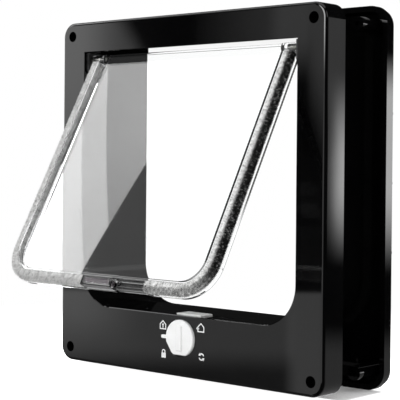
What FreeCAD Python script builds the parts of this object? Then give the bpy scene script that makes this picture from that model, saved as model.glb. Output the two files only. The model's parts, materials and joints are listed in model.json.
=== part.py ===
import FreeCAD, Part
import math
import os

# Cat flap for a door: an interior frame with a hinged clear flap and a four-position lock dial, and an
# exterior frame whose tunnel slides over the interior one to suit the thickness of the door.
# Frame: X across the door, +Y outdoors, +Z up, in millimetres. The origin is the middle of the four
# screw holes, on the plane where the interior frame meets the door.

V = FreeCAD.Vector

# Overall frame
frame_width = 240.0
frame_height = 248.0
corner_radius = 10.5
edge_round = 2.2
wall = 2.5
interior_depth = 20.0
door_gap = 43.0
exterior_depth = 11.0
exterior_step_depth = 5.0
exterior_step_inset = 1.3
exterior_step_edge = 1.0
exterior_edge = 1.5
exterior_overhang = 3.0
mouth_flare = 4.0

# Opening and tunnel
opening_edge = 0.5
side_margin = 23.0
top_margin = 22.2
sill_margin = 42.2
sill_radius = 27.0
tunnel_clearance = 0.4
interior_tunnel_reach = 30.0
exterior_tunnel_start = 20.0

# Door screws
screw_inset_x = 10.0
screw_inset_z = 10.0
screw_head_radius = 3.8
screw_head_depth = 14.5
screw_hole_radius = 2.3
screw_block = 6.0
post_radius = 5.0
post_bore_radius = 1.9
post_length = 16.0

# Ribs inside both frames
rib_thickness = 1.6
rib_setback = 3.0
ribs_across = 4
ribs_up = 3

# Flap
hinge_from_front = 8.0
hinge_below_top = 5.0
flap_sill_gap = 1.0
flap_side_gap = 4.6
flap_radius = 24.0
flap_open_angle = 29.0
pane_thickness = 2.4
top_bar_radius = 1.3
top_bar_lift = 1.8
rim_front = 4.6
rim_back = 5.0
rim_wall = 1.6
back_flange = 1.8
back_flange_setback = 1.0
pile_width = 7.2
pile_front = 5.0
pile_gap = 0.1
pile_top_gap = 4.0
rim_top_gap = 3.0

# Hinge
pin_radius = 1.5
pin_press_gap = 0.02
pin_running_gap = 0.06
pin_in_flap = 10.0
hinge_boss_radius = 3.3
hinge_boss_length = 14.0
clip_thickness = 2.2
clip_depth = 12.0
clip_drop = 10.0
clip_side_gap = 0.4
clip_edge = 2.0
clip_lug = 5.0
clip_lug_lift = 1.0
clip_lug_gap = 0.1

# Flap magnet and lock block, measured along X from the middle
pocket_left = -14.0
pocket_right = 13.0
pocket_height = 7.8
pocket_half_depth = 4.2
pocket_wall = 1.6
magnet_thickness = 3.0
magnet_gap = 0.2
cap_edge = 0.4
lock_block_left = 17.0
lock_block_right = 41.0
lock_block_height = 7.8
lock_block_half_depth = 2.6
lock_block_recess = 0.9
block_lift = 0.8

# Sill magnet
sill_magnet_middle = 4.0
sill_magnet_width = 22.0
sill_magnet_start = 3.5
sill_magnet_depth = 12.0
sill_magnet_proud = 1.0
sill_magnet_sunk = 1.2
sill_magnet_edge = 0.5

# Lock dial
dial_below_sill = 15.5
dial_radius = 12.6
dial_proud = 1.9
dial_recess = 1.0
dial_recess_gap = 0.4
dial_gap = 0.1
dial_flat_drop = 11.4
dial_facet_drop = 11.9
dial_facet_turn = 55.0
dial_edge_round = 0.6
pointer_reach = 4.6
pointer_width = 2.4
pointer_proud = 1.2
pointer_gap = 0.2
grip_width = 5.2
grip_length = 17.0
grip_height = 0.8
grip_edge = 0.5
dial_shaft_radius = 4.5
key_side = 5.0
key_depth = 5.0

# Cam drum behind the dial
drum_side = 8.4
cam_radius = 7.8
detent_radius = 9.0
detent_notch_radius = 1.9
detent_first_angle = 45.0
dial_positions = 4
detent_wheel_start = 6.0
detent_wheel_width = 4.0
journal_radius = 3.4
front_cam_spans = ((-45.0, 90.0), (135.0, 90.0))
rear_cam_spans = ((45.0, 180.0),)
cam_screw_radius = 1.2
cam_screw_head_radius = 2.6
cam_screw_head_height = 1.6
cam_screw_end_gap = 1.0

# Detent leaf spring
leaf_thickness = 0.5
leaf_width = 3.6
leaf_end_gap = 0.2
leaf_nose_radius = 1.7
leaf_gap = 0.1
leaf_post = 3.0

# Latches
latch_thickness = 2.0
latch_left = 21.0
latch_right = 36.0
latch_travel = 6.0
latch_gap = 0.2
latch_round = 1.5
latch_arm_height = 5.0
latch_foot_drop = 10.0
front_latch_start = 2.8
rear_latch_start = 11.2
shelf_thickness = 2.4
guide_clearance = 1.0
guide_inset = 1.0

# Lock bay and its cover
bay_left = -21.0
bay_right = 45.0
bay_wall = 1.8
cover_start = 15.6
cover_thickness = 2.0
cover_gap = 0.4
cover_screw_radius = 1.3
cover_screw_gap = 0.2
cover_screw_head_radius = 2.6
cover_screw_head_height = 1.4
cover_screw_length = 8.0
cover_post_side = 6.0
cover_boss_depth = 9.5

# Modelling: how far fused pieces reach into each other, and cutting tools pass what they cut
bite = 0.5
overrun = 1.0
least_radius = 0.5
tolerance = 1e-6

# Places worked out from the sizes above
half_width = frame_width / 2
half_height = frame_height / 2
front = -interior_depth
face_inside = front + wall
rear_start = door_gap
rear_end = door_gap + exterior_depth
opening_half = half_width - side_margin
opening_width = 2 * opening_half
opening_top = half_height - top_margin
sill = -half_height + sill_margin
screw_x = half_width - screw_inset_x
screw_z = half_height - screw_inset_z
hinge_y = front + hinge_from_front
hinge_z = opening_top - hinge_below_top
flap_half = opening_half - flap_side_gap
flap_bottom = sill + flap_sill_gap
dial_z = sill - dial_below_sill
leaf_half_length = dial_below_sill - wall - leaf_end_gap
tunnel_step = wall + tunnel_clearance


def box(x0, x1, y0, y1, z0, z1):
    return Part.makeBox(x1 - x0, y1 - y0, z1 - z0, V(x0, y0, z0))


def rod(radius, y0, y1, x, z):
    """Round rod along Y."""
    return Part.makeCylinder(radius, y1 - y0, V(x, y0, z), V(0, 1, 0))


def cross_rod(radius, x0, x1, y, z):
    """Round rod along X."""
    return Part.makeCylinder(radius, x1 - x0, V(x0, y, z), V(1, 0, 0))


def wire_through(corners, y):
    """Closed wire in the plane Y = y. Each corner is (x, z, radius), listed anticlockwise from the front."""
    pieces = []
    count = len(corners)
    starts, ends, middles = [], [], []
    for i, (x, z, radius) in enumerate(corners):
        px, pz, _ = corners[i - 1]
        nx, nz, _ = corners[(i + 1) % count]
        here = V(x, y, z)
        back = (V(px, y, pz) - here).normalize()
        ahead = (V(nx, y, nz) - here).normalize()
        half_turn = back.getAngle(ahead) / 2
        reach = radius / math.tan(half_turn)
        starts.append(here + back * reach)
        ends.append(here + ahead * reach)
        inward = (back + ahead).normalize()
        middles.append(here + inward * (radius / math.sin(half_turn) - radius))
    for i, (x, z, radius) in enumerate(corners):
        if radius > 0:
            pieces.append(Part.Arc(starts[i], middles[i], ends[i]).toShape())
        pieces.append(Part.makeLine(ends[i], starts[(i + 1) % count]))
    return Part.Wire(pieces)


def prism(corners, y0, y1):
    """Solid between the planes Y = y0 and Y = y1, over a rounded outline."""
    return Part.Face(wire_through(corners, y0)).extrude(V(0, y1 - y0, 0))


def panel_outline(half, low, high, low_radius, high_radius):
    lower = [(-half, low, low_radius), (half, low, low_radius)]
    upper = [(half, high, high_radius), (-half, high, high_radius)]
    return lower + upper


def frame_outline(inset=0.0):
    radius = max(corner_radius - inset, least_radius)
    high = half_height - inset
    return panel_outline(half_width - inset, -high, high, radius, radius)


def exterior_outline(inset=0.0):
    """The exterior frame stands out past the interior one by its overhang on every side."""
    return frame_outline(inset - exterior_overhang)


def opening_outline(grow=0.0):
    """The passage: square corners above, large rounded corners at the sill."""
    return panel_outline(opening_half + grow, sill - grow, opening_top + grow, sill_radius + grow, 0)


def flap_outline(inset, top):
    """The flap's outline, moved in by inset at its sides and bottom, and cut off at the given height."""
    radius = max(flap_radius - inset, least_radius)
    return panel_outline(flap_half - inset, flap_bottom + inset, top, radius, 0)


def edges_on_plane(shape, y):
    """Edges of a solid that lie wholly on the plane Y = y."""
    return [e for e in shape.Edges
            if abs(e.BoundBox.YMin - y) < tolerance and abs(e.BoundBox.YMax - y) < tolerance]


def opening_rim(shape):
    """Edges on the front plane that run round the opening."""
    rim = []
    for edge in edges_on_plane(shape, front):
        middle = edge.CenterOfMass
        beside = abs(middle.x) <= opening_half + tolerance
        if beside and sill - tolerance <= middle.z <= opening_top + tolerance:
            rim.append(edge)
    return rim


def screw_places():
    return [(sx * screw_x, sz * screw_z) for sx in (-1, 1) for sz in (-1, 1)]


def cover_screw_places():
    """The cover has one screw at its lower left and one at its upper right."""
    inset = cover_post_side / 2
    lower_left = (bay_left + inset, -half_height + wall + inset)
    upper_right = (bay_right - inset, sill - wall - inset)
    return [lower_left, upper_right]


def ribs(y0, y1, tunnel_grow, overhang=0.0):
    """Thin plates that tie a frame's outer wall to its tunnel, evenly spaced on each side."""
    plates = []
    outer_x = half_width + overhang - wall / 2
    outer_z = half_height + overhang - wall / 2
    inner_x = opening_half + tunnel_grow
    span_z = opening_top - sill
    for i in range(1, ribs_up + 1):
        z = sill + span_z * i / (ribs_up + 1) - rib_thickness / 2
        plates.append(box(inner_x, outer_x, y0, y1, z, z + rib_thickness))
        plates.append(box(-outer_x, -inner_x, y0, y1, z, z + rib_thickness))
    for i in range(1, ribs_across + 1):
        x = -opening_half + opening_width * i / (ribs_across + 1) - rib_thickness / 2
        plates.append(box(x, x + rib_thickness, y0, y1, opening_top + tunnel_grow, outer_z))
        if x + rib_thickness < bay_left or x > bay_right:
            plates.append(box(x, x + rib_thickness, y0, y1, -outer_z, sill - tunnel_grow))
    return plates


def screw_corner(x, z):
    """Solid block round one screw hole, out to the corner of the frame."""
    sx, sz = math.copysign(1, x), math.copysign(1, z)
    x0, x1 = sorted((x - sx * screw_block, sx * half_width))
    z0, z1 = sorted((z - sz * screw_block, sz * half_height))
    return box(x0, x1, face_inside - bite, 0, z0, z1)


def dial_face_cuts():
    """Ring recess round the dial and the bore of its shaft."""
    recess = dial_radius + dial_recess_gap
    return [
        rod(recess, front - overrun, front + dial_recess, 0, dial_z),
        rod(dial_shaft_radius + pin_running_gap, front, face_inside + overrun, 0, dial_z),
    ]


def latch_slots():
    """Slots in the sill that the two latches rise through."""
    cuts = []
    for start in (front_latch_start, rear_latch_start):
        y0 = front + start - latch_gap
        y1 = front + start + latch_thickness + latch_gap
        cuts.append(box(latch_left - latch_gap, latch_right + latch_gap, y0, y1,
                        sill - wall - overrun, sill + overrun))
    return cuts


def bay_parts():
    """Walls of the lock bay, cover bosses, latch shelf and guides, and the detent spring's posts."""
    inner_bottom = -half_height + wall / 2
    under_sill = sill - wall / 2
    cover_y = front + cover_start
    parts = [
        box(bay_left - bay_wall, bay_left, face_inside - bite, cover_y, inner_bottom, under_sill),
        box(bay_right, bay_right + bay_wall, face_inside - bite, cover_y, inner_bottom, under_sill),
    ]
    half = cover_post_side / 2
    for x, z in cover_screw_places():
        parts.append(box(x - half, x + half, face_inside - bite, cover_y, z - half, z + half))
    foot = dial_z - latch_foot_drop - latch_gap
    rear_guide = front + rear_latch_start + latch_thickness + latch_gap
    parts.append(box(latch_left, latch_right, face_inside - bite, rear_guide, foot - shelf_thickness, foot))
    guide_low = dial_z + latch_arm_height / 2 + latch_travel + guide_clearance
    mid0 = front + front_latch_start + latch_thickness + latch_gap
    mid1 = front + rear_latch_start - latch_gap
    parts.append(box(latch_left, latch_right, mid0, mid1, guide_low, under_sill))
    right = latch_right + latch_gap
    parts.append(box(right, right + bay_wall, face_inside - bite, rear_guide, foot, under_sill))
    wheel_y = front + detent_wheel_start + (detent_wheel_width - leaf_width) / 2
    leaf_x = -detent_radius - leaf_gap - leaf_nose_radius
    for sign in (-1, 1):
        z = dial_z + sign * leaf_half_length
        post = box(leaf_x - leaf_post / 2, leaf_x + leaf_post / 2, face_inside - bite, wheel_y + leaf_width,
                   z - leaf_post / 2, z + leaf_post / 2)
        slot = box(leaf_x - leaf_thickness - leaf_gap, leaf_x + leaf_gap,
                   wheel_y, wheel_y + leaf_width + overrun,
                   dial_z - leaf_half_length - leaf_gap, dial_z + leaf_half_length + leaf_gap)
        parts.append(post.cut(slot))
    return parts


def clip_box(side, grow=0.0):
    """Outline of a hinge clip's plate, on the tunnel's left (-1) or right (1) wall."""
    x0 = side * (opening_half - clip_thickness)
    x1 = side * opening_half
    y0 = hinge_y - clip_depth / 2
    return box(min(x0, x1), max(x0, x1), y0 - grow, y0 + clip_depth + grow, hinge_z - clip_drop - grow,
               opening_top - clip_side_gap + grow)


def clip_lug_box(side, grow=0.0):
    """Lug at a clip's foot that snaps through the tunnel wall."""
    x0 = side * (opening_half - clip_thickness / 2)
    x1 = side * (opening_half + wall)
    z0 = hinge_z - clip_drop + clip_lug_lift
    return box(min(x0, x1), max(x0, x1), hinge_y - clip_lug / 2 - grow, hinge_y + clip_lug / 2 + grow,
               z0 - grow, z0 + clip_lug / 2 + grow)


def sill_magnet_box(grow=0.0):
    x0 = sill_magnet_middle - sill_magnet_width / 2
    y0 = front + sill_magnet_start
    return box(x0 - grow, x0 + sill_magnet_width + grow, y0 - grow, y0 + sill_magnet_depth + grow,
               sill - sill_magnet_sunk, sill + sill_magnet_proud)


def make_interior_frame():
    shell = prism(frame_outline(), front, 0)
    shell = shell.makeFillet(edge_round, edges_on_plane(shell, front))
    shell = shell.cut(prism(opening_outline(), front - overrun, overrun))
    shell = shell.makeChamfer(opening_edge, opening_rim(shell))
    shell = shell.cut(prism(frame_outline(wall), face_inside, overrun))
    tunnel = prism(opening_outline(wall), front + edge_round, interior_tunnel_reach)
    inside = prism(frame_outline(wall / 2), face_inside - bite, 0)
    extras = [screw_corner(x, z).common(inside) for x, z in screw_places()]
    extras += ribs(face_inside - bite, -rib_setback, wall / 2) + bay_parts()
    shell = shell.fuse([tunnel] + extras)
    cuts = [prism(opening_outline(), face_inside - bite, interior_tunnel_reach + overrun)]
    for x, z in screw_places():
        cuts.append(rod(screw_head_radius, front - overrun, front + screw_head_depth, x, z))
        cuts.append(rod(screw_hole_radius, front, overrun, x, z))
    cuts += dial_face_cuts() + latch_slots()
    cover_y = front + cover_start
    for x, z in cover_screw_places():
        cuts.append(rod(cover_screw_radius + pin_running_gap, cover_y - cover_boss_depth,
                        cover_y + overrun, x, z))
    for side in (-1, 1):
        reach = opening_half + wall + overrun
        cuts.append(cross_rod(pin_radius + pin_running_gap, min(0, side * reach), max(0, side * reach),
                              hinge_y, hinge_z))
        cuts.append(clip_lug_box(side, clip_lug_gap))
    cuts.append(sill_magnet_box(magnet_gap / 2))
    return shell.cut(cuts).removeSplitter()


def flare(y0, y1, grow0, grow1):
    """Solid that widens from one size of the passage to another, between two planes."""
    wires = [wire_through(opening_outline(grow), y) for grow, y in ((grow0, y0), (grow1, y1))]
    return Part.makeLoft(wires, True, True)


def make_exterior_frame():
    step_y = rear_end - exterior_step_depth
    shell = prism(exterior_outline(), rear_start, step_y)
    shell = shell.makeChamfer(exterior_step_edge, edges_on_plane(shell, step_y))
    raised = prism(exterior_outline(exterior_step_inset), step_y - bite, rear_end)
    raised = raised.makeChamfer(exterior_edge, edges_on_plane(raised, rear_end))
    shell = shell.fuse(raised)
    hollow = exterior_outline(wall + exterior_step_inset)
    shell = shell.cut(prism(hollow, rear_start - overrun, rear_end - wall))
    outside = tunnel_step + wall
    tunnel = prism(opening_outline(outside), exterior_tunnel_start, rear_end - wall / 2)
    flare_start = rear_end - mouth_flare
    mouth = flare(flare_start - wall, rear_end - wall + bite, outside, outside + mouth_flare + bite)
    post_start = rear_start - post_length
    posts = [rod(post_radius, post_start, rear_end - wall / 2, x, z) for x, z in screw_places()]
    plates = ribs(rear_start + rib_setback, rear_end - wall / 2, tunnel_step + wall / 2, exterior_overhang)
    shell = shell.fuse([tunnel, mouth] + posts + plates)
    cuts = [prism(opening_outline(tunnel_step), exterior_tunnel_start - overrun, rear_end + overrun),
            flare(flare_start, rear_end + overrun, tunnel_step, tunnel_step + mouth_flare + overrun)]
    for x, z in screw_places():
        cuts.append(rod(post_bore_radius, post_start - overrun, rear_end - 2 * wall, x, z))
    return shell.cut(cuts).removeSplitter()


def ring(outer_inset, inner_inset, y0, y1, top):
    """U-shaped band that follows the flap's sides and bottom."""
    outer = prism(flap_outline(outer_inset, top), y0, y1)
    return outer.cut(prism(flap_outline(inner_inset, top + overrun), y0 - overrun, y1 + overrun))


def pocket_block():
    return box(pocket_left, pocket_right, hinge_y - pocket_half_depth, hinge_y + pocket_half_depth,
               flap_bottom + block_lift, flap_bottom + pocket_height)


def lock_block():
    return box(lock_block_left, lock_block_right, hinge_y - lock_block_half_depth,
               hinge_y + lock_block_half_depth, flap_bottom + block_lift, flap_bottom + lock_block_height)


def make_flap_panel():
    half_pane = pane_thickness / 2
    rim_outside = pile_width + pile_gap
    rim_inside = rim_outside + rim_wall
    bar_z = hinge_z + top_bar_lift
    rim_top = hinge_z - rim_top_gap
    pane = prism(flap_outline(rim_outside, bar_z), hinge_y - half_pane, hinge_y + half_pane)
    rim = ring(rim_outside, rim_inside, hinge_y - rim_front, hinge_y + rim_back, rim_top)
    flange_start = hinge_y + rim_back - back_flange
    flange = ring(back_flange_setback, rim_inside, flange_start, hinge_y + rim_back, rim_top)
    gap = box(pocket_left, lock_block_right, hinge_y + half_pane, hinge_y + rim_back + overrun,
              flap_bottom - overrun, flap_bottom + rim_outside)
    rim_half = flap_half - rim_outside
    top_bar = cross_rod(top_bar_radius, -rim_half, rim_half, hinge_y, bar_z)
    pieces = [rim, flange.cut(gap), top_bar, pocket_block(), lock_block()]
    for side in (-1, 1):
        end = side * (opening_half - clip_thickness - clip_side_gap)
        start = end - side * hinge_boss_length
        pieces.append(cross_rod(hinge_boss_radius, min(start, end), max(start, end), hinge_y, hinge_z))
        edge = side * (flap_half - back_flange_setback)
        pieces.append(box(min(start, edge), max(start, edge), hinge_y - half_pane, hinge_y + half_pane,
                          hinge_z - pile_top_gap + pile_gap, hinge_z))
    panel = pane.fuse(pieces)
    cuts = [magnet_cavity()]
    for side in (-1, 1):
        end = opening_half - clip_thickness
        start = end - pin_in_flap
        x0, x1 = sorted((side * start, side * (end + overrun)))
        cuts.append(cross_rod(pin_radius + pin_press_gap, x0, x1, hinge_y, hinge_z))
    block_front = hinge_y - lock_block_half_depth
    recess = box(lock_block_left + pocket_wall, lock_block_right - pocket_wall,
                 block_front - overrun, block_front + lock_block_recess,
                 flap_bottom + block_lift + pocket_wall, flap_bottom + lock_block_height - pocket_wall)
    cuts.append(recess)
    return panel.cut(cuts).removeSplitter()


def magnet_cavity(grow=0.0):
    """Space in the flap's pocket for the magnet and the cap over it, open towards the room."""
    inset = pocket_wall + grow
    depth = pocket_wall + magnet_thickness + magnet_gap
    y0 = hinge_y - pocket_half_depth
    mouth = y0 - overrun if grow == 0 else y0
    return box(pocket_left + inset, pocket_right - inset, mouth, y0 + depth - grow,
               flap_bottom + block_lift + inset, flap_bottom + pocket_height - inset)


def make_flap_magnet():
    cavity = magnet_cavity(magnet_gap).BoundBox
    y1 = hinge_y - pocket_half_depth + pocket_wall + magnet_thickness + magnet_gap
    return box(cavity.XMin, cavity.XMax, y1 - magnet_thickness, y1, cavity.ZMin, cavity.ZMax)


def make_flap_magnet_cap():
    cavity = magnet_cavity(magnet_gap / 4).BoundBox
    y0 = hinge_y - pocket_half_depth
    plate = box(cavity.XMin, cavity.XMax, y0, y0 + pocket_wall, cavity.ZMin, cavity.ZMax)
    return plate.makeFillet(cap_edge, edges_on_plane(plate, y0))


def make_pile_seal(side):
    """Pile strip along one side of the flap, round the lower corner and in to the blocks at the middle."""
    top = hinge_z - pile_top_gap
    y0 = hinge_y - pile_front
    y1 = hinge_y + rim_back - back_flange - pile_gap
    band = ring(0, pile_width, y0, y1, top)
    if side < 0:
        x0, x1 = -flap_half, pocket_left - pile_gap
    else:
        x0, x1 = lock_block_right + pile_gap, flap_half
    return band.common(box(x0, x1, y0, y1, flap_bottom, top)).removeSplitter()


def make_hinge_pin(side):
    start = opening_half - clip_thickness - pin_in_flap + pin_press_gap
    x0, x1 = sorted((side * start, side * (opening_half + wall)))
    return cross_rod(pin_radius, x0, x1, hinge_y, hinge_z)


def make_hinge_clip(side):
    plate = clip_box(side)
    lower = [e for e in plate.Edges if e.BoundBox.XMax - e.BoundBox.XMin > clip_thickness / 2
             and e.BoundBox.ZMax < hinge_z]
    plate = plate.makeChamfer(clip_edge, lower)
    clip = plate.fuse(clip_lug_box(side))
    inner = opening_half - clip_thickness - overrun
    x0, x1 = sorted((side * inner, side * (opening_half + wall + overrun)))
    return clip.cut(cross_rod(pin_radius + pin_running_gap, x0, x1, hinge_y, hinge_z)).removeSplitter()


def make_sill_magnet():
    plate = sill_magnet_box()
    top = [e for e in plate.Edges if abs(e.BoundBox.ZMin - sill - sill_magnet_proud) < tolerance]
    return plate.makeFillet(sill_magnet_edge, top)


def dial_outline():
    """Round dial with one flat at the foot and a shorter facet at the lower left."""
    y0 = front - dial_proud
    y1 = front + dial_recess - dial_gap
    disc = rod(dial_radius, y0, y1, 0, dial_z)
    for drop, turn in ((dial_flat_drop, 0.0), (dial_facet_drop, dial_facet_turn)):
        cutter = box(-dial_radius, dial_radius, y0 - overrun, y1 + overrun,
                     dial_z - 2 * dial_radius, dial_z - drop)
        cutter.rotate(V(0, 0, dial_z), V(0, 1, 0), turn)
        disc = disc.cut(cutter)
    return disc


def make_dial_knob():
    disc = dial_outline()
    disc = disc.makeChamfer(dial_edge_round, edges_on_plane(disc, front - dial_proud))
    y0 = front - dial_proud
    tip_x = -dial_radius - pointer_reach + pointer_width / 2
    pointer = box(tip_x, 0, front - pointer_proud, front - pointer_gap, dial_z - pointer_width / 2,
                  dial_z + pointer_width / 2)
    tip = rod(pointer_width / 2, front - pointer_proud, front - pointer_gap, tip_x, dial_z)
    grip = box(-grip_width / 2, grip_width / 2, y0 - grip_height, y0 + dial_edge_round,
               dial_z - grip_length / 2, dial_z + grip_length / 2)
    grip = grip.makeChamfer(grip_edge, edges_on_plane(grip, y0 - grip_height))
    shaft = rod(dial_shaft_radius, front, face_inside + latch_gap, 0, dial_z)
    key_end = face_inside + latch_gap + key_depth
    key = box(-key_side / 2, key_side / 2, face_inside, key_end, dial_z - key_side / 2, dial_z + key_side / 2)
    knob = disc.fuse([pointer, tip, grip, shaft, key])
    bore = rod(cam_screw_radius + pin_running_gap, face_inside, key_end + overrun, 0, dial_z)
    return knob.cut(bore).removeSplitter()


def cam_sector(start_angle, sweep, y0, y1):
    """One raised lobe of a cam: a sector of a disc about the dial's axis."""
    disc = Part.makeCylinder(cam_radius, y1 - y0, V(0, y0, dial_z), V(0, 1, 0), sweep)
    disc.rotate(V(0, y0, dial_z), V(0, 1, 0), start_angle)
    return disc


def make_cam_drum():
    start = face_inside + latch_gap
    shoulder = front + cover_start - latch_gap
    half = drum_side / 2
    drum = box(-half, half, start, shoulder, dial_z - half, dial_z + half)
    journal_end = front + cover_start + cover_thickness
    pieces = [rod(journal_radius, shoulder, journal_end, 0, dial_z)]
    for spans, plane in ((front_cam_spans, front_latch_start), (rear_cam_spans, rear_latch_start)):
        for start_angle, sweep in spans:
            y0 = front + plane
            pieces.append(cam_sector(start_angle, sweep, y0, y0 + latch_thickness))
    wheel_y = front + detent_wheel_start
    wheel = rod(detent_radius, wheel_y, wheel_y + detent_wheel_width, 0, dial_z)
    notches = []
    for i in range(dial_positions):
        angle = math.radians(detent_first_angle + 360 * i / dial_positions)
        notches.append(rod(detent_notch_radius, wheel_y - overrun, wheel_y + detent_wheel_width + overrun,
                           detent_radius * math.cos(angle), dial_z + detent_radius * math.sin(angle)))
    drum = drum.fuse(pieces + [wheel.cut(notches)])
    side = key_side / 2 + pin_press_gap
    socket = box(-side, side, start - overrun, start + key_depth + pin_press_gap,
                 dial_z - side, dial_z + side)
    bore = rod(cam_screw_radius + pin_running_gap, start, journal_end + overrun, 0, dial_z)
    return drum.cut([socket, bore]).removeSplitter()


def make_cam_screw():
    seat = front + cover_start + cover_thickness
    shank = rod(cam_screw_radius, face_inside + latch_gap + cam_screw_end_gap, seat, 0, dial_z)
    head = rod(cam_screw_head_radius, seat, seat + cam_screw_head_height, 0, dial_z)
    return shank.fuse(head)


def make_detent_spring():
    """Flat steel leaf with a round nose that rides on the cam drum's notched wheel."""
    y0 = front + detent_wheel_start + (detent_wheel_width - leaf_width) / 2
    flat_x = -detent_radius - leaf_gap - leaf_nose_radius
    leaf = box(flat_x - leaf_thickness, flat_x, y0, y0 + leaf_width, dial_z - leaf_half_length,
               dial_z + leaf_half_length)
    nose = rod(leaf_nose_radius, y0, y0 + leaf_width, flat_x, dial_z)
    bend = leaf_nose_radius - leaf_thickness
    hollow = rod(bend, y0 - overrun, y0 + leaf_width + overrun, flat_x, dial_z)
    keep = box(flat_x - leaf_thickness, 0, y0, y0 + leaf_width, dial_z - leaf_half_length,
               dial_z + leaf_half_length)
    mouth = box(flat_x - leaf_thickness - overrun, flat_x, y0 - overrun, y0 + leaf_width + overrun,
                dial_z - bend, dial_z + bend)
    return leaf.fuse(nose.common(keep)).cut([hollow, mouth]).removeSplitter()


def make_latch(start):
    """Flat latch with a tab that rises through the sill and an arm that reaches to the cam."""
    y0 = front + start
    y1 = y0 + latch_thickness
    arm_end = cam_radius + 2 * latch_gap
    arm_low = dial_z - latch_arm_height / 2
    foot = dial_z - latch_foot_drop
    top = sill - latch_gap
    corners = [
        (latch_left + latch_gap, foot, 0),
        (latch_right - latch_gap, foot, 0),
        (latch_right - latch_gap, top, latch_round),
        (latch_left + latch_gap, top, latch_round),
        (latch_left + latch_gap, arm_low + latch_arm_height, 0),
        (arm_end, arm_low + latch_arm_height, 0),
        (arm_end, arm_low, 0),
        (latch_left + latch_gap, arm_low, 0),
    ]
    return prism(corners, y0, y1)


def make_lock_cover():
    cover_y = front + cover_start
    low = -half_height + wall + cover_gap
    high = sill - wall - cover_gap
    plate = box(bay_left - bay_wall, bay_right + bay_wall, cover_y, cover_y + cover_thickness, low, high)
    guides = []
    guide_y = front + rear_latch_start + latch_thickness + latch_gap
    for x in (latch_left + guide_inset, latch_right - guide_inset - bay_wall):
        guides.append(box(x, x + bay_wall, guide_y, cover_y, dial_z, high))
    y0 = cover_y - overrun
    y1 = cover_y + cover_thickness + overrun
    cuts = [rod(journal_radius + pin_running_gap, y0, y1, 0, dial_z)]
    for x, z in cover_screw_places():
        cuts.append(rod(cover_screw_radius + cover_screw_gap, y0, y1, x, z))
    return plate.fuse(guides).cut(cuts).removeSplitter()


def make_cover_screws():
    seat = front + cover_start + cover_thickness
    screws = []
    for x, z in cover_screw_places():
        shank = rod(cover_screw_radius, seat - cover_screw_length, seat, x, z)
        head = rod(cover_screw_head_radius, seat, seat + cover_screw_head_height, x, z)
        screws.append(shank.fuse(head))
    return Part.makeCompound(screws)


def swung_open(shape):
    """Turns a piece of the flap from closed to the angle at which it is held open into the room."""
    turned = shape.copy()
    turned.rotate(V(0, hinge_y, hinge_z), V(1, 0, 0), -flap_open_angle)
    return turned


def build():
    """Every piece of the cat flap, by node name."""
    pieces = {
        "interior_frame": make_interior_frame(),
        "exterior_frame": make_exterior_frame(),
        "flap_panel": swung_open(make_flap_panel()),
        "flap_magnet": swung_open(make_flap_magnet()),
        "flap_magnet_cap": swung_open(make_flap_magnet_cap()),
        "sill_magnet": make_sill_magnet(),
        "dial_knob": make_dial_knob(),
        "cam_drum": make_cam_drum(),
        "cam_screw": make_cam_screw(),
        "detent_spring": make_detent_spring(),
        "room_side_latch": make_latch(front_latch_start),
        "outdoor_side_latch": make_latch(rear_latch_start),
        "lock_cover": make_lock_cover(),
        "cover_screws": make_cover_screws(),
    }
    for name, side in (("left", -1), ("right", 1)):
        pieces["pile_seal_" + name] = swung_open(make_pile_seal(side))
        pieces["hinge_pin_" + name] = make_hinge_pin(side)
        pieces["hinge_clip_" + name] = make_hinge_clip(side)
    return pieces


os.makedirs("parts", exist_ok=True)
for node, shape in build().items():
    shape.exportStep("parts/" + node + ".step")
    print(node, "solids", len(shape.Solids), "valid", shape.isValid(), "volume", round(shape.Volume, 1))
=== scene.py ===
import json
import math

import bpy
import numpy as np
from mathutils import Matrix, Vector


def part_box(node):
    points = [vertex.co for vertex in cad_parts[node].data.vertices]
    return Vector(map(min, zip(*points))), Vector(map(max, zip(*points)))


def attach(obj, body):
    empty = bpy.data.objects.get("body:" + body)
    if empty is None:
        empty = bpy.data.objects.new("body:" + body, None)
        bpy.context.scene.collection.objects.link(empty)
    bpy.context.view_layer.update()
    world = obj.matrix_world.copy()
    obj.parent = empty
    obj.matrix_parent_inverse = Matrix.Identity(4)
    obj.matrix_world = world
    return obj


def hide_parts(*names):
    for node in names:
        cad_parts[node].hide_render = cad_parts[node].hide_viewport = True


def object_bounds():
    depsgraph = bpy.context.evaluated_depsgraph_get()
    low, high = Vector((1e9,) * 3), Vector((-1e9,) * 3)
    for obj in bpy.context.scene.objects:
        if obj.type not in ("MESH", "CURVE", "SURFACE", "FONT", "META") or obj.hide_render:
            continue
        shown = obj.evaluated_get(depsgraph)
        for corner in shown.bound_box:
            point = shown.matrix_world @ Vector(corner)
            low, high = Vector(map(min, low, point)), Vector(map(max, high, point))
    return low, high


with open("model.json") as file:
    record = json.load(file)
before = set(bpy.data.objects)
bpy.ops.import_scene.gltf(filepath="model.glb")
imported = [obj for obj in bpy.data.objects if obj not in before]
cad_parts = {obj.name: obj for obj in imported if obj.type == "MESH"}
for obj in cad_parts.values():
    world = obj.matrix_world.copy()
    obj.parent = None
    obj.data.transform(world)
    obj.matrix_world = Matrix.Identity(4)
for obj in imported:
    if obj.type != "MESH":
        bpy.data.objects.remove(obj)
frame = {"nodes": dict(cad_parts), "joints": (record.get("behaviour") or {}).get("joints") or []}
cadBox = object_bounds()
mm = 0.001
random = np.random.default_rng(4)
print("frame loaded:", len(frame["nodes"]), "nodes")

# The photograph's view, in metres and degrees
cameraView = {
    "place": (0.5923, -0.6709, 0.0248),
    "yaw": 41.51,
    "pitch": 0.481,
    "roll": 0.493,
    "lens": 116.35,
    "shiftY": -0.075,
    "farthest": 50,
}


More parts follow.
